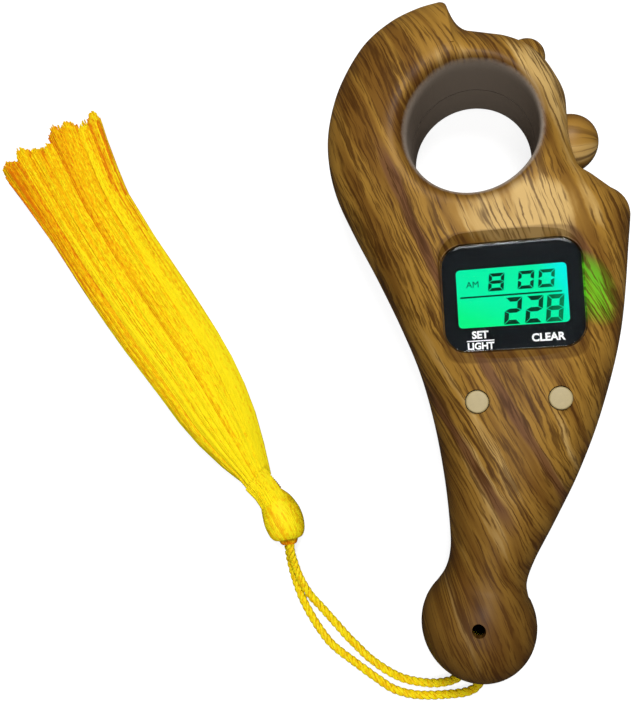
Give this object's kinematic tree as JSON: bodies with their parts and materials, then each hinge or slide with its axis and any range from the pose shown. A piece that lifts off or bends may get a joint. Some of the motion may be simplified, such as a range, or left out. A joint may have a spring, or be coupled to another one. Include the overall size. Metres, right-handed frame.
{
  "type": "digital tally counter",
  "caption": "Hand tally counter with a finger ring, a lit display, push buttons on its face and side, and a corded tassel.",
  "frame": {"origin": "middle of the housing's footprint, on the plane its flat back lies on", "axes": "+Y from the ball end towards the finger ring, +Z out of the display face, +X towards the count button's side"},
  "size_m": [0.1298, 0.1306, 0.0245],
  "materials": {
    "wood_print_front": "satin wood-grain print",
    "wood_print_back": "satin wood-grain print",
    "wood_print_door": "satin wood-grain print",
    "wood_print_knob": "satin wood-grain print",
    "steel_screw": "bright zinc-plated",
    "clear_window": "polished clear acrylic",
    "black_print": "gloss black film",
    "lcd": "backlit green",
    "light_panel": "diffusing white",
    "led_body": "moulded white",
    "zebra": "matt",
    "board_green": "solder mask",
    "chip_black": "potting drop",
    "crystal_can": "bright",
    "cap_beige": "satin",
    "switch_black": "matt",
    "lead_grey": "matt ribbon cable",
    "cell_steel": "bright",
    "contact_brass": "plated",
    "cord_yellow": "twisted thread",
    "tassel_yellow": "silky thread"
  },
  "bodies": {
    "housing": {"front_shell": "wood_print_front", "back_shell": "wood_print_back", "battery_door": "wood_print_door", "battery_door_screw": "steel_screw", "case_screw_1": "steel_screw", "case_screw_2": "steel_screw", "case_screw_3": "steel_screw", "case_screw_4": "steel_screw", "display_window": "clear_window", "display_mask": "black_print", "lcd_panel": "lcd", "backlight_panel": "light_panel", "backlight_led": "led_body", "zebra_strip_upper": "zebra", "zebra_strip_lower": "zebra", "main_board": "board_green", "board_screw_1": "steel_screw", "board_screw_2": "steel_screw", "controller_chip": "chip_black", "clock_crystal": "crystal_can", "mode_switch_base": "switch_black", "reset_switch_base": "switch_black", "count_board": "board_green", "count_switch_base": "switch_black", "count_lead": "lead_grey", "coin_cell": "cell_steel", "contact_plus": "contact_brass", "contact_minus": "contact_brass", "cord_knot": "cord_yellow", "cord_strand_a": "cord_yellow", "cord_strand_b": "cord_yellow", "tassel_head": "tassel_yellow", "tassel_skirt": "tassel_yellow"},
    "count_button": {"count_knob": "wood_print_knob", "count_switch_plunger": "switch_black"},
    "mode_button": {"mode_button_cap": "cap_beige", "mode_switch_plunger": "switch_black"},
    "reset_button": {"reset_button_cap": "cap_beige", "reset_switch_plunger": "switch_black"}
  },
  "joints": [
    {"name": "count_press", "type": "slide", "parent": "housing", "child": "count_button", "axis": [-0.9978, 0.0663, 0], "range_m": [0, 0.0006], "stiffness_N_per_m": 1500, "springref_m": -0.0004},
    {"name": "mode_press", "type": "slide", "parent": "housing", "child": "mode_button", "axis": [0, 0, -1], "range_m": [0, 0.0005], "stiffness_N_per_m": 1500, "springref_m": -0.0004},
    {"name": "reset_press", "type": "slide", "parent": "housing", "child": "reset_button", "axis": [0, 0, -1], "range_m": [0, 0.0005], "stiffness_N_per_m": 1500, "springref_m": -0.0004}
  ]
}
